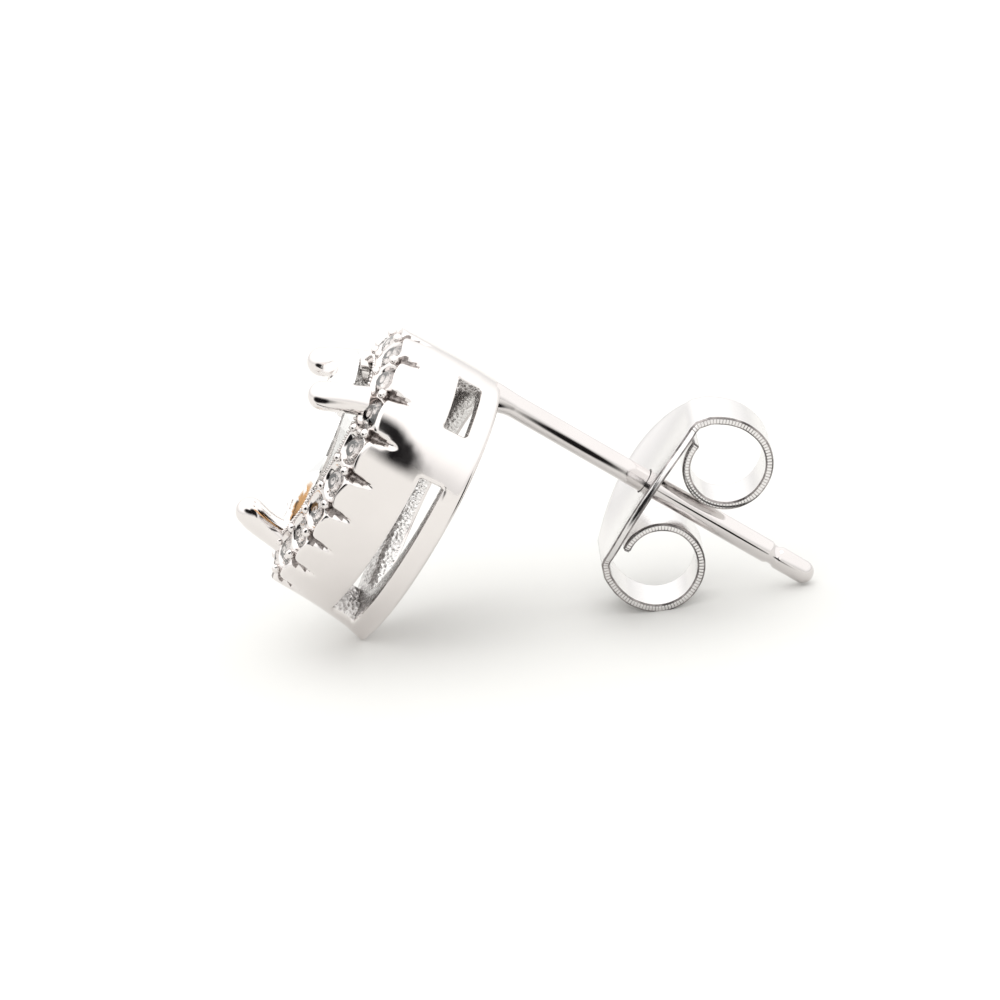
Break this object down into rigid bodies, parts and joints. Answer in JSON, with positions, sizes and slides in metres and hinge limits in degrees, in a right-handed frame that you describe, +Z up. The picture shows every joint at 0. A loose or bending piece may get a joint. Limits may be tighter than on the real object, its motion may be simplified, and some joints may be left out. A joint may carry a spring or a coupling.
{
  "type": "stud earring",
  "caption": "Pear-shaped halo stud earring: a faceted stone in three prongs, scalloped pave rim, pierced gallery wall, straight post and sliding butterfly clutch.",
  "frame": {"origin": "centre of the bounding box at the level that the earring rests on", "axes": "+Z up, +X towards the tail of the post, which slopes down that way; +Y across the width, about which plane Y = 0 the earring is symmetric"},
  "size_m": [0.017, 0.0066, 0.0094],
  "materials": {
    "bright_rhodium": "cast, plated and polished to a mirror",
    "stamped_rhodium": "stamped strip, plated and polished",
    "clear_stone": "faceted, polished, colourless",
    "clear_halo_stone": "faceted, polished, colourless"
  },
  "bodies": {
    "stud": {"setting": "bright_rhodium", "centre_stone": "clear_stone", "halo_stone_01": "clear_halo_stone", "halo_stone_02": "clear_halo_stone", "halo_stone_03": "clear_halo_stone", "halo_stone_04": "clear_halo_stone", "halo_stone_05": "clear_halo_stone", "halo_stone_06": "clear_halo_stone", "halo_stone_07": "clear_halo_stone", "halo_stone_08": "clear_halo_stone", "halo_stone_09": "clear_halo_stone", "halo_stone_10": "clear_halo_stone", "halo_stone_11": "clear_halo_stone", "halo_stone_12": "clear_halo_stone", "halo_stone_13": "clear_halo_stone", "halo_stone_14": "clear_halo_stone", "halo_stone_15": "clear_halo_stone", "halo_stone_16": "clear_halo_stone", "halo_stone_17": "clear_halo_stone"},
    "butterfly": {"clutch": "stamped_rhodium"}
  },
  "joints": [
    {"name": "clutch_slide", "type": "slide", "parent": "stud", "child": "butterfly", "axis": [0.7857, 0, -0.6186], "range_m": [-0.0048, 0.0065]}
  ]
}
